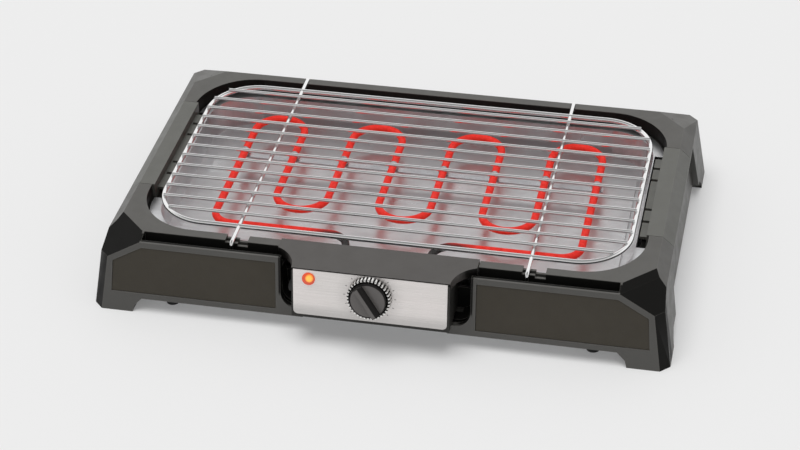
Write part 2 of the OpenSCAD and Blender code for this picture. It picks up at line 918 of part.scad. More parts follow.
module control_box() {
    color(dark) difference() {
        to_origin() union() {
            difference() {
                along_x(unit_w) box_profile(0, unit_low, unit_top);
                along_x(unit_w - 2 * unit_wall) box_profile(unit_wall, unit_low + unit_wall, body_h + 1);
            }
            for (x = [-1, 1], y = post_ys) {
                translate([x * post_x, y, unit_low]) cylinder(d = post_dia, h = post_split - unit_low);
            }
        }
        to_origin() for (x = [-1, 1], y = post_ys) {
            translate([x * post_x, y, 0]) cylinder(d = screw_dia + 2 * turn_gap, h = body_h);
            translate([x * post_x, y, 0]) {
                cylinder(d = screw_head + 2 * fit_gap, h = unit_low + screw_head_t);
            }
        }
        // Thermostat bush and pilot lens in front, cord gland on the left, element ends behind
        at_face() translate([0, -1, 0]) rotate([-90, 0, 0]) {
            cylinder(d = bush_dia + 2 * fit_gap, h = unit_wall + 2);
        }
        at_face() translate([lens_x, -1, lens_up]) rotate([-90, 0, 0]) {
            cylinder(d = lens_stem + 2 * fit_gap, h = unit_wall + 2);
        }
        to_origin() translate([-unit_w / 2 - 1, gland_y, gland_z]) rotate([0, 90, 0]) {
            cylinder(d = gland_dia - 2 + 2 * fit_gap, h = unit_wall + 2);
        }
        to_origin() for (x = [-1, 1]) {
            translate([x * end_x, -unit_back - unit_wall - 1, tube_z]) rotate([-90, 0, 0]) {
                cylinder(d = tube_dia + 4 * fit_gap, h = unit_wall + 2);
            }
        }
    }
}

// Plate with square upper corners and round lower ones
module plate_outline() {
    low = plate_top - plate_h;
    translate([-plate_w / 2, low + plate_r]) square([plate_w, plate_h - plate_r]);
    translate([-plate_w / 2 + plate_r, low]) square([plate_w - 2 * plate_r, plate_r + 1]);
    for (x = [-1, 1]) {
        translate([x * (plate_w / 2 - plate_r), low + plate_r]) circle(r = plate_r);
    }
}

module face_plate() {
    color(bright) at_face() difference() {
        along_y(-plate_t, -turn_gap) plate_outline();
        translate([0, -plate_t - 1, 0]) rotate([-90, 0, 0]) {
            cylinder(d = bush_dia + 4 * fit_gap, h = plate_t + 2);
        }
        translate([lens_x, -plate_t - 1, lens_up]) rotate([-90, 0, 0]) {
            cylinder(d = lens_stem + 2 * fit_gap, h = plate_t + 2);
        }
    }
}

module pilot_lens() {
    inside = unit_wall + plate_t + lens_back;
    color("orange") at_face() translate([lens_x, -plate_t - turn_gap, lens_up]) {
        rotate([90, 0, 0]) rotate_extrude($fn = 64) polygon(concat(
            [[0, -inside], [lens_stem / 2, -inside], [lens_stem / 2, 0], [lens_dia / 2, 0]],
            [for (a = [0 : 15 : 90]) [lens_dia / 2 * cos(a), lens_flange + lens_dome * sin(a)]]
        ));
    }
}

module pilot_lamp() {
    front = unit_wall + lens_back + 2 * fit_gap;
    color("orangered") at_face() translate([lens_x, front, lens_up]) rotate([-90, 0, 0]) {
        cylinder(d = lamp_dia, h = lamp_len);
        translate([0, 0, lamp_len - eps]) cylinder(d = lamp_pin, h = lamp_pin_len);
    }
}

module thermostat() {
    color(steel) at_face() difference() {
        union() {
            translate([-thermo_w / 2, thermo_y, -thermo_h / 2]) cube([thermo_w, thermo_d, thermo_h]);
            translate([0, thermo_y + 1, 0]) rotate([90, 0, 0]) {
                cylinder(d = bush_dia, h = unit_wall + plate_t + fit_gap + nut_t + bush_proud);
            }
            // Contact tabs at the back
            for (x = [-1, 1]) {
                translate([x * tab_x - tab_w / 2, thermo_y + thermo_d - eps, -tab_drop]) {
                    cube([tab_w, tab_len, tab_t]);
                }
            }
        }
        translate([0, thermo_y + shaft_depth + 1, 0]) rotate([90, 0, 0]) {
            cylinder(d = shaft_dia + 2 * turn_gap, h = far);
        }
    }
}

module thermostat_nut() {
    color(steel) at_face() translate([0, -plate_t - turn_gap, 0]) rotate([90, 0, 0]) {
        difference() {
            cylinder(d = nut_af / cos(30), h = nut_t, $fn = 6);
            translate([0, 0, -1]) cylinder(d = bush_dia + 2 * turn_gap, h = nut_t + 2);
        }
    }
}

// Turns the knob's pieces to the photographed rest position
module at_knob() {
    at_face() rotate([0, -grip_lean, 0]) children();
}

module shaft_section(d) {
    difference() {
        circle(d = d);
        translate([-d, d / 2 - shaft_flat]) square([2 * d, d]);
    }
}

module thermostat_shaft() {
    round_from = -plate_t - nut_t - 1;
    color(steel) at_knob() {
        translate([0, thermo_y + shaft_depth, 0]) rotate([90, 0, 0]) {
            cylinder(d = shaft_dia, h = thermo_y + shaft_depth - round_from);
        }
        along_y(shaft_end, round_from + eps) shaft_section(shaft_dia);
    }
}

module knob() {
    body_front = knob_front + grip_proud;
    color(dark) at_knob() difference() {
        union() {
            translate([0, knob_back, 0]) rotate([90, 0, 0]) {
                cylinder(d1 = knob_dia, d2 = knob_dia - knob_taper, h = knob_back - body_front);
            }
            intersection() {
                translate([-grip_w / 2, knob_front, -far]) {
                    cube([grip_w, knob_back - body_front + 1, 2 * far]);
                }
                translate([0, knob_back, 0]) rotate([90, 0, 0]) {
                    cylinder(d = knob_dia - 2 * knob_taper, h = far);
                }
            }
        }
        // Room for the nut, and the shaft's bore
        translate([0, knob_back + 1, 0]) rotate([90, 0, 0]) {
            cylinder(d = nut_af / cos(30) + 2, h = nut_t + 2);
        }
        along_y(shaft_end - fit_gap, knob_back + 1) shaft_section(shaft_dia + 2 * turn_gap);
        // Line that points to the setting
        translate([-pointer_w / 2, knob_front - 1, knob_dia / 2 - pointer_len - pointer_inset]) {
            cube([pointer_w, 1.5, pointer_len]);
        }
    }
}

module knob_ring() {
    color(bright) at_knob() translate([0, knob_back, 0]) rotate([90, 0, 0]) difference() {
        cylinder(d = ring_dia, h = ring_t, $fn = 96);
        translate([0, 0, -1]) cylinder(d = knob_dia + 2 * turn_gap, h = ring_t + 2);
        for (i = [0 : ring_flutes - 1]) {
            rotate([0, 0, i * 360 / ring_flutes]) translate([ring_dia / 2, 0, flute_from]) {
                cylinder(d = flute_dia, h = ring_t, $fn = 16);
            }
        }
    }
}

module terminal_block() {
    block_y = -unit_back - unit_wall - block_d - 2;
    color([0.9, 0.88, 0.82]) to_origin() translate([block_x, block_y, block_z]) {
        difference() {
            cube([3 * block_pitch + 1, block_d, block_h]);
            for (i = [0 : 2]) {
                translate([(i + 0.5) * block_pitch + 0.5, -1, block_h / 2]) rotate([-90, 0, 0]) {
                    cylinder(d = block_bore, h = block_d + 2);
                }
            }
        }
    }
}

module cord_gland() {
    color(dark) to_origin() translate([-unit_w / 2, gland_y, gland_z]) rotate([0, 90, 0]) difference() {
        union() {
            translate([0, 0, -gland_out]) {
                cylinder(d1 = gland_dia - 1, d2 = gland_dia + 2, h = gland_out - turn_gap);
            }
            translate([0, 0, -1]) cylinder(d = gland_dia - 2, h = unit_wall + 3);
            translate([0, 0, unit_wall + fit_gap]) cylinder(d = gland_dia + 2, h = 2);
        }
        translate([0, 0, -gland_out - 1]) cylinder(d = gland_bore, h = far);
    }
}

module cord_clamp() {
    floor_z = unit_low + unit_wall;
    color(steel) to_origin() translate([-unit_w / 2 + unit_wall + 6, gland_y, floor_z + turn_gap]) {
        difference() {
            translate([0, -clamp_w / 2, 0]) {
                cube([clamp_t, clamp_w, gland_z - floor_z + gland_bore]);
            }
            translate([-1, 0, gland_z - floor_z]) rotate([0, 90, 0]) {
                cylinder(d = gland_bore, h = clamp_t + 2);
            }
        }
    }
}

// Y and height of a place that is given as the depth behind the box's front and the
// distance up along it
function face_point(depth, up) = [
    face_y + depth * cos(lean_angle) + up * sin(lean_angle),
    knob_z - depth * sin(lean_angle) + up * cos(lean_angle)
];

// Inner wire along some points, with a round bead at each one
module lead(points) {
    for (i = [0 : len(points) - 2]) {
        run = points[i + 1] - points[i];
        translate(points[i]) rotate([0, acos(run[2] / norm(run)), atan2(run[1], run[0])]) {
            cylinder(d = lead_dia, h = norm(run), $fn = 16);
        }
    }
    for (p = points) {
        translate(p) sphere(d = lead_bead, $fn = 16);
    }
}

module leads() {
    pin_y = -unit_back - unit_wall - pin_len - 2.5;
    hold = thermo_y + thermo_d + tab_len - lead_hold;
    above = face_point(hold, -tab_drop + tab_t + lead_bead / 2);
    below = face_point(hold, -tab_drop - lead_bead / 2);
    block_y = pin_y - 2;
    block_end = block_x + 3 * block_pitch + 4;
    color("white") to_origin() {
        lead([[-tab_x, above[0], above[1]], [-tab_x, above[0], above[1] + lead_rise],
            [-end_x, pin_y, above[1] + lead_rise], [-end_x, pin_y, tube_z]]);
        lead([[tab_x, below[0], below[1]], [tab_x, below[0], below[1] - lead_fall],
            [block_x - 3, block_y, below[1] - lead_fall]]);
        lead([[end_x, pin_y, tube_z], [end_x, pin_y, tube_z + lead_over],
            [block_end, block_y, tube_z + lead_over], [block_end, block_y, block_z + block_h / 2]]);
    }
}

// Parts of the sheathed tube: a straight run, and a bend of some degrees in the plane
module tube_run(from, to) {
    run = to - from;
    translate([from[0], from[1], tube_z]) rotate([0, 90, atan2(run[1], run[0])]) {
        cylinder(d = tube_dia, h = norm(run), $fn = 32);
    }
}

module tube_bend(centre, r, start, sweep) {
    translate([centre[0], centre[1], tube_z]) rotate([0, 0, start]) {
        rotate_extrude(angle = sweep, $fn = 96) translate([r, 0]) circle(d = tube_dia, $fn = 32);
    }
}

module half_element() {
    r = leg_pitch / 2;
    back_c = bend_back - r;
    front_c = bend_front + r;
    out_x = 3.5 * leg_pitch;
    tube_run([r, front_c], [r, back_c]);
    tube_bend([leg_pitch, back_c], r, 0, 180);
    tube_run([3 * r, front_c], [3 * r, back_c]);
    tube_bend([2 * leg_pitch, front_c], r, 180, 180);
    tube_run([5 * r, front_c], [5 * r, back_c]);
    tube_bend([3 * leg_pitch, back_c], r, 0, 180);
    tube_run([out_x, run_y + run_r], [out_x, back_c]);
    tube_bend([out_x - run_r, run_y + run_r], run_r, 270, 90);
    tube_run([end_bend_x, run_y], [out_x - run_r, run_y]);
    tube_bend([end_bend_x, run_y - run_r], run_r, 90, 90);
    tube_run([end_x, -unit_back - unit_wall - 1], [end_x, run_y - run_r]);
}

module heating_element() {
    color("red") to_origin() {
        mirror_x() half_element();
        tube_bend([0, bend_front + leg_pitch / 2], leg_pitch / 2, 180, 180);
    }
}

module element_pins() {
    color(steel) to_origin() mirror_x() {
        translate([end_x, -unit_back - unit_wall - 1 - turn_gap, tube_z]) rotate([90, 0, 0]) {
            cylinder(d = pin_dia, h = pin_len);
        }
    }
}

module element_seals() {
    color("ivory") to_origin() mirror_x() {
        translate([end_x, -unit_back + shield_t + 2 * fit_gap, tube_z]) rotate([-90, 0, 0]) difference() {
            cylinder(d = seal_dia, h = seal_len);
            translate([0, 0, -1]) cylinder(d = tube_dia + 2 * turn_gap, h = seal_len + 2);
        }
    }
}

module element_shield() {
    half = end_x + shield_reach;
    color(steel) to_origin() difference() {
        translate([-half, -unit_back + fit_gap, bay_back_top - shield_skirt]) {
            cube([2 * half, shield_t, unit_top - shield_skirt - bay_back_top]);
        }
        mirror_x() translate([end_x, -unit_back - 1, tube_z]) rotate([-90, 0, 0]) {
            cylinder(d = tube_dia + 2 * fit_gap, h = shield_t + 3);
        }
    }
}

module element_brace() {
    outer = 3.5 * leg_pitch + tube_dia / 2 + brace_over;
    low = tube_z - tube_dia / 2 - turn_gap - brace_t;
    clip = tube_dia + 2 * brace_t + 2 * turn_gap;
    color(steel) to_origin() difference() {
        union() {
            translate([-outer, brace_y - brace_w / 2, low]) cube([2 * outer, brace_w, brace_t]);
            for (i = [-3.5 : 1 : 3.5]) {
                translate([i * leg_pitch, brace_y + brace_w / 4, tube_z]) rotate([90, 0, 0]) {
                    cylinder(d = clip, h = brace_w / 2);
                }
            }
        }
        for (i = [-3.5 : 1 : 3.5]) {
            translate([i * leg_pitch, brace_y + brace_w, tube_z]) rotate([90, 0, 0]) {
                cylinder(d = tube_dia + 2 * turn_gap, h = 2 * brace_w);
            }
        }
    }
}

module control_screws() {
    color(steel) to_origin() for (x = [-1, 1], y = post_ys) {
        translate([x * post_x, y, 0]) screw(unit_low + screw_head_t - turn_gap, unit_top - 1.5);
    }
}

// Rounded wire hoop in the plane
module wire_hoop(w, d, r, thick) {
    for (x = [-1, 1], y = [-1, 1]) {
        start = x > 0 ? (y > 0 ? 0 : 270) : (y > 0 ? 90 : 180);
        translate([x * (w / 2 - r), y * (d / 2 - r), 0]) rotate([0, 0, start]) {
            rotate_extrude(angle = 90, $fn = 96) translate([r, 0]) circle(d = thick, $fn = 32);
        }
    }
    for (y = [-1, 1]) {
        translate([-w / 2 + r, y * d / 2, 0]) rotate([0, 90, 0]) {
            cylinder(d = thick, h = w - 2 * r, $fn = 32);
        }
    }
    for (x = [-1, 1]) {
        translate([x * w / 2, -d / 2 + r, 0]) rotate([-90, 0, 0]) {
            cylinder(d = thick, h = d - 2 * r, $fn = 32);
        }
    }
}

module rack_frame() {
    color(bright) to_origin() translate([0, 0, rack_z]) wire_hoop(rack_w, rack_d, rack_r, frame_wire);
}

// Half the length of a bar at a given Y, so that it ends on the frame's axis
function bar_half(y) = abs(y) <= rack_d / 2 - rack_r
    ? rack_w / 2
    : rack_w / 2 - rack_r + sqrt(pow(rack_r, 2) - pow(abs(y) - rack_d / 2 + rack_r, 2));

module rack_bars() {
    color(bright) to_origin() for (i = [0 : bar_count - 1]) {
        y = (i - (bar_count - 1) / 2) * bar_pitch;
        translate([-bar_half(y), y, bar_z]) rotate([0, 90, 0]) {
            cylinder(d = bar_wire, h = 2 * bar_half(y), $fn = 24);
        }
    }
}

module rack_cross_wires() {
    straight = cross_front + rim_d / 2 - cross_bend;
    color(bright) to_origin() for (x = [-1, 1]) {
        translate([x * cross_x, -cross_front + cross_bend, cross_z]) {
            rotate([-90, 0, 0]) cylinder(d = cross_wire, h = straight, $fn = 32);
            translate([0, 0, -cross_bend]) rotate([90, 0, 90]) rotate([0, 0, 90]) {
                rotate_extrude(angle = 90, $fn = 96) translate([cross_bend, 0]) {
                    circle(d = cross_wire, $fn = 32);
                }
            }
            translate([0, -cross_bend, -cross_drop]) {
                cylinder(d = cross_wire, h = cross_drop - cross_bend, $fn = 32);
            }
        }
    }
}

body_shell();
left_handle();
right_handle();
front_left_panel();
front_right_panel();
base_plate();
rubber_feet();
handle_screws();
base_screws();
drip_tray();
control_box();
control_cover();
face_plate();
pilot_lens();
pilot_lamp();
thermostat();
thermostat_nut();
terminal_block();
cord_gland();
cord_clamp();
leads();
heating_element();
element_pins();
element_seals();
element_shield();
element_brace();
control_screws();
thermostat_shaft();
knob();
knob_ring();
rack_frame();
rack_bars();
rack_cross_wires();
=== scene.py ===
"""Looks of a countertop electric grill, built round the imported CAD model, in metres."""

import json
import math
import random

import bmesh
import bpy
from mathutils import Matrix, Vector


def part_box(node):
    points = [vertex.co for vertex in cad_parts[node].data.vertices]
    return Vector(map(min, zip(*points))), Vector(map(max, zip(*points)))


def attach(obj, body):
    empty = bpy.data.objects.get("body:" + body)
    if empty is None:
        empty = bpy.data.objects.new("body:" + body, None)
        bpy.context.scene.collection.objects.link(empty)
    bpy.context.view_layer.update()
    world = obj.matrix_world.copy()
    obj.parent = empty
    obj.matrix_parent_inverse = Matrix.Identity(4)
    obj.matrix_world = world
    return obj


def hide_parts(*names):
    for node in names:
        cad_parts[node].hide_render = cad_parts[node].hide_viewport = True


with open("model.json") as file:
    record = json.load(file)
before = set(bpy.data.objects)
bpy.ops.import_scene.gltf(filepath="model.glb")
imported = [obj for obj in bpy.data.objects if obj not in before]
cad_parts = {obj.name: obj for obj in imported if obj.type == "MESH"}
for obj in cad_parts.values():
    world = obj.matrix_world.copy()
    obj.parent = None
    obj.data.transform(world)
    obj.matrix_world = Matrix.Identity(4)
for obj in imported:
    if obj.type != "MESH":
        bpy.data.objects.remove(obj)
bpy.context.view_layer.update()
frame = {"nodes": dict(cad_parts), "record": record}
nodes = frame["nodes"]

MM = 0.001
# The shell's middle in Y, from which the places on it are measured
shell_low, shell_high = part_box("body_shell")
SHIFT_Y = (shell_low.y + shell_high.y) / 2

# Camera, at the photograph's viewing angle. Its lens and sensor are in mm
AZIMUTH, ELEVATION, ROLL = (math.radians(a) for a in (12.601, 34.839, -1.298))
TARGET = Vector((-11.916 * MM, SHIFT_Y, 9.756 * MM))
DISTANCE = 2.2334
LENS, SENSOR = 99.19, 36.0


def make_camera():
    data = bpy.data.cameras.new("camera")
    data.lens = LENS
    data.sensor_width = SENSOR
    camera = bpy.data.objects.new("camera", data)
    bpy.context.scene.collection.objects.link(camera)
    level = math.cos(ELEVATION)
    away = Vector((math.sin(AZIMUTH) * level, -math.cos(AZIMUTH) * level, math.sin(ELEVATION)))
    right = (-away).cross(Vector((0, 0, 1))).normalized()
    up = right.cross(-away)
    turned_right = math.cos(ROLL) * right + math.sin(ROLL) * up
    turned_up = -math.sin(ROLL) * right + math.cos(ROLL) * up
    turn = Matrix((turned_right, turned_up, away)).transposed().to_4x4()
    camera.matrix_world = Matrix.Translation(TARGET + away * DISTANCE) @ turn
    bpy.context.scene.camera = camera


make_camera()

# The control unit's leaning face: the middle of the knob, and the ways across, into and up the face
knob_turn = next(j for j in frame["record"]["behaviour"]["joints"] if j["name"] == "knob_turn")
FACE = Vector(knob_turn["pos_m"])
ACROSS = Vector((1, 0, 0))
INWARD = Vector(knob_turn["axis"])
UPWARD = ACROSS.cross(INWARD)


def on_face(across, depth, up):
    """The place of a point given in mm across, into and up the unit's face from the knob's middle."""
    return FACE + (ACROSS * across + INWARD * depth + UPWARD * up) * MM


# Materials -------------------------------------------------------------------------------

class Nodes:
    """Short names for building the nodes of a material or a world."""

    def __init__(self, owner):
        owner.use_nodes = True
        self.owner = owner
        self.tree = owner.node_tree
        self.shader = self.tree.nodes.get("Principled BSDF")
        self.place = self.add("ShaderNodeTexCoord").outputs["Object"]

    def add(self, kind, **settings):
        node = self.tree.nodes.new(kind)
        for key, value in settings.items():
            setattr(node, key, value)
        return node

    def join(self, source, target):
        self.tree.links.new(source, target)

    def put(self, socket, value):
        """Joins the socket to another one, or sets it to a number or a colour."""
        if isinstance(value, bpy.types.NodeSocket):
            self.join(value, socket)
        else:
            socket.default_value = (*value, 1.0) if isinstance(value, tuple) else value

    def math(self, operation, *values):
        node = self.add("ShaderNodeMath", operation=operation)
        for socket, value in zip(node.inputs, values):
            self.put(socket, value)
        return node.outputs[0]

    def reach(self, a, b):
        """How far a point is from an axis, from its two distances along the other axes."""
        return self.math("SQRT", self.math("ADD", self.math("MULTIPLY", a, a), self.math("MULTIPLY", b, b)))

    def noise(self, scale, detail=2.0, rough=0.5):
        """Noise from 0 to 1. The scale is in features a metre, one number or one for each axis."""
        scaled = self.add("ShaderNodeMapping")
        self.join(self.place, scaled.inputs["Vector"])
        scaled.inputs["Scale"].default_value = scale if isinstance(scale, tuple) else (scale,) * 3
        node = self.add("ShaderNodeTexNoise")
        self.join(scaled.outputs[0], node.inputs["Vector"])
        node.inputs["Scale"].default_value = 1.0
        node.inputs["Detail"].default_value = detail
        node.inputs["Roughness"].default_value = rough
        return node.outputs["Fac"]

    def between(self, value, low, high, new_low=0.0, new_high=1.0, smooth=True):
        """Carries the value from one range to another, and holds it at the new range's ends."""
        node = self.add("ShaderNodeMapRange")
        node.interpolation_type = "SMOOTHSTEP" if smooth else "LINEAR"
        ends = {"Value": value, "From Min": low, "From Max": high, "To Min": new_low, "To Max": new_high}
        for name, end in ends.items():
            self.put(node.inputs[name], end)
        return node.outputs["Result"]

    def mix(self, factor, a, b):
        node = self.add("ShaderNodeMix", data_type="RGBA")
        self.put(node.inputs["Factor"], factor)
        for name, value in (("A", a), ("B", b)):
            self.put([s for s in node.inputs if s.name == name and s.type == "RGBA"][0], value)
        return [s for s in node.outputs if s.type == "RGBA"][0]

    def axis(self, name, vector=None):
        """One coordinate of the place, or of another vector."""
        node = self.add("ShaderNodeSeparateXYZ")
        self.join(vector or self.place, node.inputs[0])
        return node.outputs[name]

    def normal(self, name):
        return self.axis(name, self.add("ShaderNodeNewGeometry").outputs["Normal"])

    def face_place(self):
        """How far across, into and up the control unit's face a point is, from the knob's middle."""
        origin = self.add("ShaderNodeVectorMath", operation="SUBTRACT")
        self.join(self.place, origin.inputs[0])
        origin.inputs[1].default_value = FACE
        found = []
        for direction in (ACROSS, INWARD, UPWARD):
            part = self.add("ShaderNodeVectorMath", operation="DOT_PRODUCT")
            self.join(origin.outputs[0], part.inputs[0])
            part.inputs[1].default_value = direction
            found.append(part.outputs["Value"])
        return found

    def seen(self):
        """1 for rays from the camera and for reflections, and 0 for light that falls on something."""
        ray = self.add("ShaderNodeLightPath")
        shown = self.math("MAXIMUM", ray.outputs["Is Camera Ray"], ray.outputs["Is Glossy Ray"])
        return self.math("MAXIMUM", shown, ray.outputs["Is Transmission Ray"])

    def bump(self, height, distance, strength):
        node = self.add("ShaderNodeBump")
        self.join(height, node.inputs["Height"])
        node.inputs["Distance"].default_value = distance
        node.inputs["Strength"].default_value = strength
        return node.outputs["Normal"]

    def edges(self, radius):
        """1 along sharp edges and 0 on the faces, for rubbed edges with a painted highlight."""
        rounded = self.add("ShaderNodeBevel", samples=4)
        rounded.inputs["Radius"].default_value = radius
        product = self.add("ShaderNodeVectorMath", operation="DOT_PRODUCT")
        self.join(rounded.outputs[0], product.inputs[0])
        self.join(self.add("ShaderNodeNewGeometry").outputs["Normal"], product.inputs[1])
        return self.between(product.outputs["Value"], 0.995, 0.9)

    def finish(self, colour, roughness, bump=None, **shader_values):
        self.put(self.shader.inputs["Base Color"], colour)
        self.put(self.shader.inputs["Roughness"], roughness)
        if bump:
            self.join(bump, self.shader.inputs["Normal"])
        for name, value in shader_values.items():
            self.shader.inputs[name.replace("_", " ")].default_value = value
        return self.owner


def surface(name):
    return Nodes(bpy.data.materials.new(name))


def tint(colour, factor):
    return tuple(min(1.0, c * factor) for c in colour)


# A plastic's features a metre: cloudy shade, marks of handling, specks and spark-eroded grain
CLOUDS, GRIME, SPECKS, SPARKS = 22, 70, 1400, 1700
# Width of the edges lightened partly by rubbing and partly as a painted highlight
EDGE_WEAR_AND_HIGHLIGHT_RADIUS = 1.2 * MM
# What is left of a plastic's colour and of its gloss where shade is painted darkest
PAINTED_SHADE_COLOUR, PAINTED_SHADE_GLOSS = 0.12, 0.08


def moulded(name, colour, rough, painted_top_light=1.0, grain=0.03, specular=0.5, edge_wear_and_highlight=0.25, deep=None):
    """Moulded plastic: fine spark-eroded grain in mm, cloudy shade, and edges lightened partly by rubbing
    and partly as a painted highlight. Faces that look up get painted light that makes them lighter or
    darker than the walls, and deep gives where shade is painted darkest."""
    n = surface(name)
    cloud = n.noise(CLOUDS, detail=4, rough=0.6)
    speck = n.noise(SPECKS, detail=1)
    grime = n.noise(GRIME, detail=5, rough=0.65)
    # Painted light: faces that look up are lightened by the factor given for them
    up = n.between(n.normal("Z"), 0.75, 0.97)
    shade = n.mix(up, colour, tint(colour, painted_top_light))
    shade = n.mix(n.between(cloud, 0.35, 0.7, 0.0, 0.14), shade, tint(colour, 1.5))
    shade = n.mix(n.between(speck, 0.55, 0.75, 0.0, 0.10), shade, tint(colour, 2.0))
    # Painted shade: colour and gloss are darkened where deep gives
    if deep:
        painted_shade = deep(n)
        shade = n.mix(painted_shade, shade, tint(colour, PAINTED_SHADE_COLOUR))
        n.join(n.between(painted_shade, 0.0, 1.0, specular, PAINTED_SHADE_GLOSS), n.shader.inputs["Specular IOR Level"])
    # Edges lightened, partly worn by rubbing and partly as a painted highlight
    shade = n.mix(n.math("MULTIPLY", n.edges(EDGE_WEAR_AND_HIGHLIGHT_RADIUS), edge_wear_and_highlight), shade, tint(colour, 2.6))
    rougher = n.between(grime, 0.3, 0.7, rough - 0.05, rough + 0.07)
    bump = n.bump(n.noise(SPARKS, detail=2, rough=0.6), grain * MM, 0.9)
    return n.finish(shade, rougher, bump, Specular_IOR_Level=specular)


def metal(name, colour, rough, grain, streak=0.05, dull=0.8, bump=0.01, spread=0.06):
    """Bare metal whose roughness and colour vary along its grain, given in features a metre."""
    n = surface(name)
    lines = n.noise(grain, detail=3, rough=0.6)
    cloud = n.noise(35, detail=4, rough=0.6)
    shade = n.mix(n.between(lines, 0.3, 0.7, 0.0, streak * 6), colour, tint(colour, dull))
    shade = n.mix(n.between(cloud, 0.5, 0.75, 0.0, 0.25), shade, tint(colour, dull))
    rougher = n.math("ADD", n.between(cloud, 0.3, 0.7, rough - spread, rough + spread),
                     n.between(lines, 0.3, 0.7, -streak, streak))
    return n.finish(shade, rougher, n.bump(lines, bump * MM, 0.8), Metallic=1.0)


# The shell's recesses, where shade is painted, in mm from its middle and up from the floor, and the heights
# from which the painted shade of a recess in the rim begins and is whole
GROOVE_Y = -163.3, -150.6
BAY_X, BAY_Y, BAY_Z = 93.5, (-171.0, -128.0), (24.3, 77.0)
WELL_X, WELL_Y = 246.3, 141.3
RIM_Z, RECESS_Z = 78.6, 78.0
# How softly a recess's painted shade begins, to each side of its edge
SOFT = 0.5 * MM


def below(n, value, limit):
    """1 where the value is less than the limit in mm."""
    return n.between(value, limit * MM + SOFT, limit * MM - SOFT)


def inside(n, value, low, high):
    """1 where the value lies from low to high, in mm."""
    return n.math("MULTIPLY", n.between(value, low * MM - SOFT, low * MM + SOFT), below(n, value, high))


def shell_painted_shade(n):
    """Where shade is painted onto the shell: the front corners' slopes, the groove over the front panels, the
    control unit's bay and the walls of the well."""
    x, z = n.math("ABSOLUTE", n.axis("X")), n.axis("Z")
    y = n.math("SUBTRACT", n.axis("Y"), SHIFT_Y)
    sunk = n.between(z, RIM_Z * MM, RECESS_Z * MM)
    slopes = n.math("MULTIPLY", n.between(n.math("ABSOLUTE", n.normal("X")), 0.12, 0.24),
                    n.between(n.normal("Y"), -0.12, -0.24))
    groove = n.math("MULTIPLY", inside(n, y, *GROOVE_Y), sunk)
    bay = n.math("MULTIPLY", below(n, x, BAY_X), inside(n, y, *BAY_Y))
    bay = n.math("MULTIPLY", bay, inside(n, z, *BAY_Z))
    well = n.math("MULTIPLY", below(n, x, WELL_X), inside(n, y, -WELL_Y, WELL_Y))
    well = n.math("MULTIPLY", well, sunk)
    return n.math("MAXIMUM", n.math("MAXIMUM", slopes, groove), n.math("MAXIMUM", bay, well))


def cover_painted_shade(n):
    """Painted shade on the cover's thin front edge over the plate, and on the undersides of its shoulders."""
    return n.between(n.normal("Y"), -0.5, -0.8)


# How far the knob's grip leans from upright at rest, in degrees
GRIP_LEAN = 33


def knob_painted_shade(n):
    """Painted shade on the knob's disc rim and on its grip's shaded side, darker than the flats beside it."""
    across, depth, up = n.face_place()
    rim = n.between(n.reach(across, up), 15.9 * MM, 16.9 * MM)
    lean = math.radians(GRIP_LEAN)
    beside = n.math("ADD", n.math("MULTIPLY", across, math.cos(lean)),
                    n.math("MULTIPLY", up, math.sin(lean)))
    proud = n.between(depth, -10.8 * MM, -11.4 * MM)
    grip = n.math("MULTIPLY", proud, n.between(beside, -0.9 * MM, 0.1 * MM))
    return n.math("MAXIMUM", rim, grip)


RING_LOBES = 36
PLASTIC = (0.064, 0.062, 0.057)
# A factor given for faces that look up lightens them as painted light, and deep gives where shade is painted
PLASTICS = {
    "black_plastic": dict(colour=tint(PLASTIC, 0.4), rough=0.42, grain=0.02, specular=0.25),
    "shell_plastic": dict(colour=PLASTIC, rough=0.42, painted_top_light=1.25, grain=0.02, edge_wear_and_highlight=0.35, deep=shell_painted_shade),
    "handle_plastic": dict(colour=(0.080, 0.080, 0.072), rough=0.42, painted_top_light=1.3, grain=0.02),
    "cover_plastic": dict(colour=(0.060, 0.055, 0.051), rough=0.36, grain=0.012, edge_wear_and_highlight=0.0, deep=cover_painted_shade),
    "panel_plastic": dict(colour=(0.052, 0.046, 0.036), rough=0.6, grain=0.06, specular=0.2, edge_wear_and_highlight=0.1),
    "knob_plastic": dict(colour=(0.110, 0.102, 0.098), rough=0.36, grain=0.01, edge_wear_and_highlight=0.0, deep=knob_painted_shade),
    "rubber": dict(colour=(0.018, 0.018, 0.018), rough=0.75, grain=0.05, edge_wear_and_highlight=0.1),
    "block_plastic": dict(colour=(0.72, 0.69, 0.62), rough=0.45, grain=0.01, edge_wear_and_highlight=0.0),
    "ceramic": dict(colour=(0.78, 0.74, 0.66), rough=0.7, grain=0.05, edge_wear_and_highlight=0.0),
    "wire_insulation": dict(colour=(0.70, 0.68, 0.60), rough=0.5, grain=0.03, edge_wear_and_highlight=0.0),
    "mark_ink": dict(colour=(0.10, 0.095, 0.09), rough=0.5, grain=0.0, edge_wear_and_highlight=0.0)
}
METALS = {
    "zinc_steel": dict(colour=(0.60, 0.61, 0.63), rough=0.34, grain=(60, 900, 60)),
    "chrome": dict(colour=(0.88, 0.88, 0.88), rough=0.14, grain=(300, 300, 300), streak=0.02, dull=0.92,
                   spread=0.04),
    "weld_steel": dict(colour=(0.70, 0.70, 0.70), rough=0.32, grain=(500, 500, 500), streak=0.04, bump=0.03),
    "tray_aluminium": dict(colour=(0.72, 0.72, 0.73), rough=0.36, grain=(25, 1200, 25), dull=0.85)
}


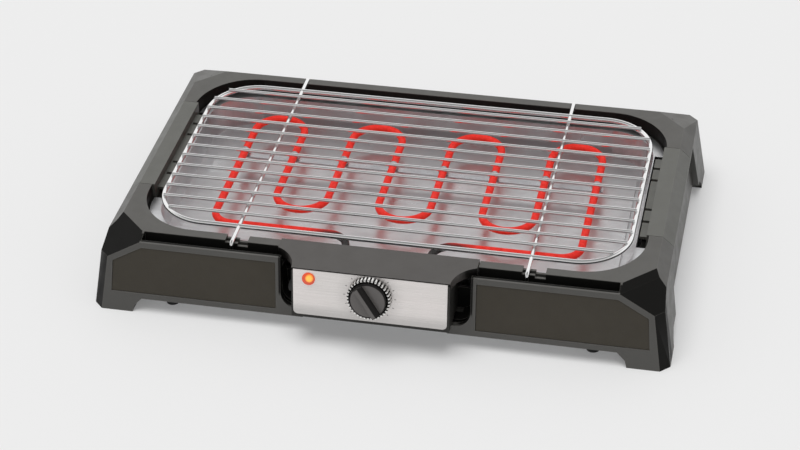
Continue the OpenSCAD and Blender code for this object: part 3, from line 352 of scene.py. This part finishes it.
def brushed_plate():
    """Silver lacquered plate with a horizontal brush, lighter in soft bands, with a painted reflection of the
    shadowed floor darkening its lower edge and painted shade round the knob."""
    n = surface("brushed_plate")
    lines = n.noise((18, 2600, 2600), detail=3, rough=0.65)
    band = n.noise((16, 16, 30), detail=1)
    shade = n.mix(n.between(lines, 0.3, 0.7, 0.0, 0.6), (0.80, 0.765, 0.745), (0.66, 0.635, 0.62))
    shade = n.mix(n.between(band, 0.35, 0.7, 0.0, 0.5), shade, (0.86, 0.80, 0.785))
    across, _, up = n.face_place()
    # Painted reflection of the shadowed floor, darker along the lower edge
    shade = n.mix(n.between(up, -12 * MM, -24 * MM, 0.0, 0.75), shade, (0.50, 0.485, 0.475))
    # Painted shade round the knob
    painted_shade_near_knob = n.between(n.reach(across, up), 36 * MM, 22 * MM, 0.0, 0.35)
    shade = n.mix(painted_shade_near_knob, shade, (0.52, 0.50, 0.49))
    rough = n.between(lines, 0.3, 0.7, 0.26, 0.38)
    return n.finish(shade, rough, n.bump(lines, 0.012 * MM, 0.7), Metallic=0.75)


# Where the element's sheath turns from red to black, in mm from the shell's middle, and how ragged this is
COLD_X, COLD_Y, RAGGED = (92, 70), (-86, -94), 12


def glowing_sheath():
    """Red-hot sheath, black at its cold ends, with scale and paler runs."""
    n = surface("element_red")
    ragged = n.math("MULTIPLY", n.noise(160), RAGGED * MM)
    side = n.math("ADD", n.math("ABSOLUTE", n.axis("X")), ragged)
    at_unit = n.between(n.axis("Y"), *(y * MM + SHIFT_Y for y in COLD_Y))
    cold = n.math("MULTIPLY", n.between(side, *(x * MM for x in COLD_X)), at_unit)
    scale = n.noise(260, detail=5, rough=0.7)
    hot = n.mix(n.between(scale, 0.4, 0.75), (0.66, 0.020, 0.014), (0.50, 0.012, 0.008))
    shade = n.mix(cold, hot, (0.022, 0.020, 0.019))
    glow = n.mix(n.between(scale, 0.35, 0.75), (1.0, 0.045, 0.02), (0.85, 0.02, 0.008))
    n.join(n.mix(cold, glow, (0.0, 0.0, 0.0)), n.shader.inputs["Emission Color"])
    rough = n.between(scale, 0.3, 0.7, 0.42, 0.62)
    return n.finish(shade, rough, n.bump(scale, 0.05 * MM, 0.8), Emission_Strength=0.25)


# How far the bright spot in the pilot lens is from the lens's middle, across and up, in mm
SPOT_X, SPOT_Z = 1.2, 1.8


def orange_lens():
    """Orange pilot lens with a yellow glow near its middle."""
    n = surface("pilot_orange")
    low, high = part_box("pilot_lens")
    across = n.math("SUBTRACT", n.axis("X"), (low.x + high.x) / 2 + SPOT_X * MM)
    upright = n.math("SUBTRACT", n.axis("Z"), (low.z + high.z) / 2 + SPOT_Z * MM)
    middle = n.between(n.reach(across, upright), 4.6 * MM, 2.0 * MM)
    shade = n.mix(middle, (0.60, 0.07, 0.02), (0.95, 0.42, 0.08))
    glow = n.mix(middle, (0.42, 0.025, 0.005), (1.0, 0.50, 0.06))
    ripple = n.noise(500, detail=2)
    n.join(glow, n.shader.inputs["Emission Color"])
    return n.finish(shade, n.between(ripple, 0.3, 0.7, 0.12, 0.2), n.bump(ripple, 0.02 * MM, 0.5),
                    Emission_Strength=0.5, Coat_Weight=0.3, Coat_Roughness=0.05)


def knurl():
    """Chrome with painted shade in the hollows between the ring's lobes."""
    n = surface("knurl_chrome")
    across, _, up = n.face_place()
    turn = n.math("MULTIPLY", n.math("ARCTAN2", up, across), RING_LOBES)
    # Painted shade: the hollows between the lobes are darkened
    hollow = n.between(n.math("COSINE", turn), 0.35, -0.45)
    cloud = n.noise(120, detail=3)
    shade = n.mix(n.between(cloud, 0.35, 0.7, 0.0, 0.5), (0.90, 0.89, 0.87), (0.70, 0.69, 0.67))
    shade = n.mix(hollow, shade, (0.018, 0.017, 0.016))
    return n.finish(shade, n.between(cloud, 0.3, 0.7, 0.10, 0.24), Metallic=1.0)


def lamp_glass():
    """Glass of the pilot lamp, warm from the glow inside it."""
    n = surface("lamp_glass")
    ripple = n.noise(400, detail=2)
    shade = n.mix(n.between(ripple, 0.3, 0.7), (1.0, 0.62, 0.35), (1.0, 0.50, 0.25))
    return n.finish(shade, n.between(ripple, 0.3, 0.7, 0.04, 0.1), Transmission_Weight=0.8)


materials = {name: moulded(name, **look) for name, look in PLASTICS.items()}
materials.update({name: metal(name, **look) for name, look in METALS.items()})
materials.update(
    knurl_chrome=knurl(), brushed_plate=brushed_plate(), element_red=glowing_sheath(),
    pilot_orange=orange_lens(), lamp_glass=lamp_glass()
)

slot_of = {row["node"]: row["material_slot"] for row in frame["record"]["subparts"]}
# Nodes whose finish differs from that of their slot
finish_of = dict(
    slot_of, body_shell="shell_plastic", left_handle="handle_plastic", right_handle="handle_plastic",
    control_cover="cover_plastic"
)


def soften(piece, width):
    """Rounds a piece's sharp edges, as a mould or a press leaves them."""
    weld = piece.modifiers.new("weld", "WELD")
    weld.merge_threshold = 0.02 * MM
    bevel = piece.modifiers.new("bevel", "BEVEL")
    bevel.width = width
    bevel.segments = 2
    bevel.limit_method = "ANGLE"
    bevel.angle_limit = math.radians(35)
    bevel.harden_normals = True


# How wide each node's edges are rounded, in mm
ROUNDING = {
    "body_shell": 0.7, "left_handle": 0.7, "right_handle": 0.7, "front_left_panel": 0.4,
    "front_right_panel": 0.4, "control_cover": 0.5, "control_box": 0.5, "face_plate": 0.25, "knob": 0.6,
    "drip_tray": 0.3, "base_plate": 0.3, "rubber_feet": 0.5, "element_shield": 0.2, "element_brace": 0.2,
    "cord_gland": 0.4, "terminal_block": 0.3, "thermostat": 0.3, "cord_clamp": 0.3
}
for name, node in nodes.items():
    node.data.materials.clear()
    node.data.materials.append(materials[finish_of[name]])
    if name in ROUNDING:
        soften(node, ROUNDING[name] * MM)


# Detail that the CAD leaves out ----------------------------------------------------------

def add_piece(name, shape, body, finish, smooth=True, stands_for=()):
    """Makes a piece of the scene that moves with a body and may stand for nodes of the CAD."""
    mesh = bpy.data.meshes.new(name)
    bmesh.ops.recalc_face_normals(shape, faces=shape.faces)
    shape.to_mesh(mesh)
    shape.free()
    mesh.polygons.foreach_set("use_smooth", [smooth] * len(mesh.polygons))
    mesh.materials.append(materials[finish])
    piece = bpy.data.objects.new(name, mesh)
    bpy.context.scene.collection.objects.link(piece)
    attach(piece, body)
    if stands_for:
        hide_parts(*stands_for)


def add_loops(shape, loops, ends=False):
    """Skins closed loops of points, each joined to the next. Without end faces, the last one joins the
    first."""
    rings = [[shape.verts.new(point) for point in loop] for loop in loops]
    pairs = list(zip(rings, rings[1:])) + ([] if ends else [(rings[-1], rings[0])])
    for a, b in pairs:
        for i in range(len(a)):
            j = (i + 1) % len(a)
            shape.faces.new((a[i], a[j], b[j], b[i]))
    if ends:
        shape.faces.new(rings[0])
        shape.faces.new(rings[-1])


# Across the ring in mm: distance from the axis, how far the hollows between the lobes go in, depth, and
# how far the hollows go back
RING_PROFILE = (
    (18.15, 0.0, -1.8, 0.0), (21.2, 0.1, -1.8, 0.0), (21.2, 1.1, -2.4, 0.0), (21.2, 1.3, -4.6, 0.0),
    (21.2, 1.2, -6.9, 0.4), (20.8, 0.9, -7.75, 0.9), (20.1, 0.5, -8.25, 1.2), (19.3, 0.1, -8.25, 0.8),
    (18.5, 0.0, -7.9, 0.2), (18.15, 0.0, -7.2, 0.0)
)
LOBE_STEPS = 10


def knurled_ring():
    """The knob's bright ring, with rounded lobes round it."""
    shape = bmesh.new()
    steps = RING_LOBES * LOBE_STEPS
    loops = []
    for radius, dent, depth, sink in RING_PROFILE:
        loop = []
        for i in range(steps):
            turn = 2 * math.pi * i / steps
            hollow = (0.5 - 0.5 * math.cos(RING_LOBES * turn)) ** 1.5
            r = radius - dent * hollow
            loop.append(on_face(r * math.cos(turn), depth + sink * hollow, r * math.sin(turn)))
        loops.append(loop)
    add_loops(shape, loops)
    return shape


# The dial's ticks: their places in degrees from upright, and in mm where they begin and end from the
# knob's axis, half their width, and their depths. The first one is longer and is the off position
TICKS = -135, -112.5, -90, -67.5, -45, 45, 67.5, 90, 112.5, 135
TICK_START, TICK_END, OFF_END = 23.4, 25.2, 26.2
TICK_HALF = 0.3
TICK_DEPTHS = -1.05, -0.9


def dial_marks():
    """Plain printed ticks round the ring, a hair proud of the plate."""
    shape = bmesh.new()
    for degrees in TICKS:
        turn = math.radians(degrees)
        out, side = Vector((math.sin(turn), math.cos(turn))), Vector((math.cos(turn), -math.sin(turn)))
        end = OFF_END if degrees == TICKS[0] else TICK_END
        corners = [
            out * r + side * w
            for r, w in ((TICK_START, -TICK_HALF), (end, -TICK_HALF), (end, TICK_HALF), (TICK_START, TICK_HALF))
        ]
        loops = [[on_face(c.x, depth, c.y) for c in corners] for depth in TICK_DEPTHS]
        add_loops(shape, loops, ends=True)
    return shape


# The rack's bars, and its weld nuggets: half their width, length and height in mm, and the steps of
# their shape down and round
BAR_COUNT = 13
NUGGET_X, NUGGET_Y, NUGGET_Z = 1.9, 2.3, 0.95
NUGGET_LEVELS, NUGGET_SIDES = 6, 12


def rack_welds():
    """The flattened nuggets where the rack's bars are welded to its cross wires and its frame."""
    chance = random.Random(7)
    shape = bmesh.new()
    low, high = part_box("rack_bars")
    bar_r = (high.z - low.z) / 2
    pitch = (high.y - low.y - 2 * bar_r) / (BAR_COUNT - 1)
    half = [0.0] * BAR_COUNT
    for v in nodes["rack_bars"].data.vertices:
        i = round((v.co.y - low.y - bar_r) / pitch)
        half[i] = max(half[i], v.co.x)
    cross_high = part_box("rack_cross_wires")[1]
    cross_x = cross_high.x - 2 * MM
    frame_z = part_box("rack_frame")[1].z - 0.1 * MM
    for i in range(BAR_COUNT):
        y = low.y + bar_r + i * pitch
        end_x = half[i] - 1.2 * MM
        spots = (cross_x, cross_high.z), (-cross_x, cross_high.z), (end_x, frame_z), (-end_x, frame_z)
        for x, z in spots:
            wide, deep = NUGGET_X * MM * chance.uniform(0.9, 1.1), NUGGET_Y * MM * chance.uniform(0.9, 1.1)
            loops = []
            for level in range(1, NUGGET_LEVELS):
                slope = math.pi * level / NUGGET_LEVELS
                loops.append([
                    Vector((
                        x + wide * math.sin(slope) * math.cos(a) * (1 + 0.12 * math.sin(3 * a + i)),
                        y + deep * math.sin(slope) * math.sin(a),
                        z - NUGGET_Z * MM * math.cos(slope)
                    )) for a in (2 * math.pi * k / NUGGET_SIDES for k in range(NUGGET_SIDES))
                ])
            add_loops(shape, loops, ends=True)
    return shape


add_piece(
    "knurled_ring", knurled_ring(), "knob", "knurl_chrome", stands_for=["knob_ring"]
)
add_piece("dial_marks", dial_marks(), "control_unit", "mark_ink", smooth=False)
add_piece("rack_welds", rack_welds(), "rack", "weld_steel")


# Light and surroundings ------------------------------------------------------------------

# Light from all sides and from above, and what polished surfaces see overhead, behind and in front
EVEN, ABOVE = 0.42, 0.62
OVERHEAD, BEHIND, BEFORE = 0.3, 1.0, 0.6
# The width of the light from above in degrees, and the way it shines
SUN_WIDTH, SUN_WAY = 45, (0.10, 0.15, -1.0)
# The floor's colour, how much of it glows rather than takes shadow, and half the floor's side in metres
BACKGROUND, GLOW = 0.83, 0.2
FLOOR_HALF = 6.0


def make_world():
    world = bpy.data.worlds.new("studio")
    bpy.context.scene.world = world
    n = Nodes(world)
    n.tree.nodes.clear()
    view = n.add("ShaderNodeTexCoord").outputs["Generated"]
    low = n.between(n.axis("Y", view), -0.4, 0.4, BEFORE, BEHIND)
    studio = n.between(n.axis("Z", view), 0.65, 0.85, low, OVERHEAD)
    background = n.add("ShaderNodeBackground")
    n.put(background.inputs["Color"], (1.0, 1.0, 1.0))
    n.join(n.between(n.seen(), 0.0, 1.0, EVEN, studio, smooth=False), background.inputs["Strength"])
    n.join(background.outputs[0], n.add("ShaderNodeOutputWorld").inputs[0])


def make_sun():
    data = bpy.data.lights.new("above", "SUN")
    data.energy = ABOVE * math.pi
    data.angle = math.radians(SUN_WIDTH)
    sun = bpy.data.objects.new("above", data)
    bpy.context.scene.collection.objects.link(sun)
    sun.visible_glossy = False
    sun.rotation_euler = Vector(SUN_WAY).to_track_quat("-Z", "Y").to_euler()


def make_floor():
    mesh = bpy.data.meshes.new("floor")
    corners = [(x * FLOOR_HALF, y * FLOOR_HALF, 0) for x, y in ((-1, -1), (1, -1), (1, 1), (-1, 1))]
    mesh.from_pydata(corners, [], [(0, 1, 2, 3)])
    floor = bpy.data.objects.new("floor", mesh)
    bpy.context.scene.collection.objects.link(floor)
    n = surface("floor")
    n.finish((BACKGROUND,) * 3, 0.9, Specular_IOR_Level=0.0)
    glow = n.add("ShaderNodeEmission")
    n.put(glow.inputs["Color"], (BACKGROUND,) * 3)
    blend = n.add("ShaderNodeMixShader")
    n.join(n.math("MULTIPLY", n.seen(), GLOW), blend.inputs[0])
    n.join(n.shader.outputs[0], blend.inputs[1])
    n.join(glow.outputs[0], blend.inputs[2])
    n.join(blend.outputs[0], n.tree.nodes["Material Output"].inputs[0])
    mesh.materials.append(n.owner)


make_world()
make_sun()
make_floor()
bpy.context.scene.view_settings.view_transform = "Standard"
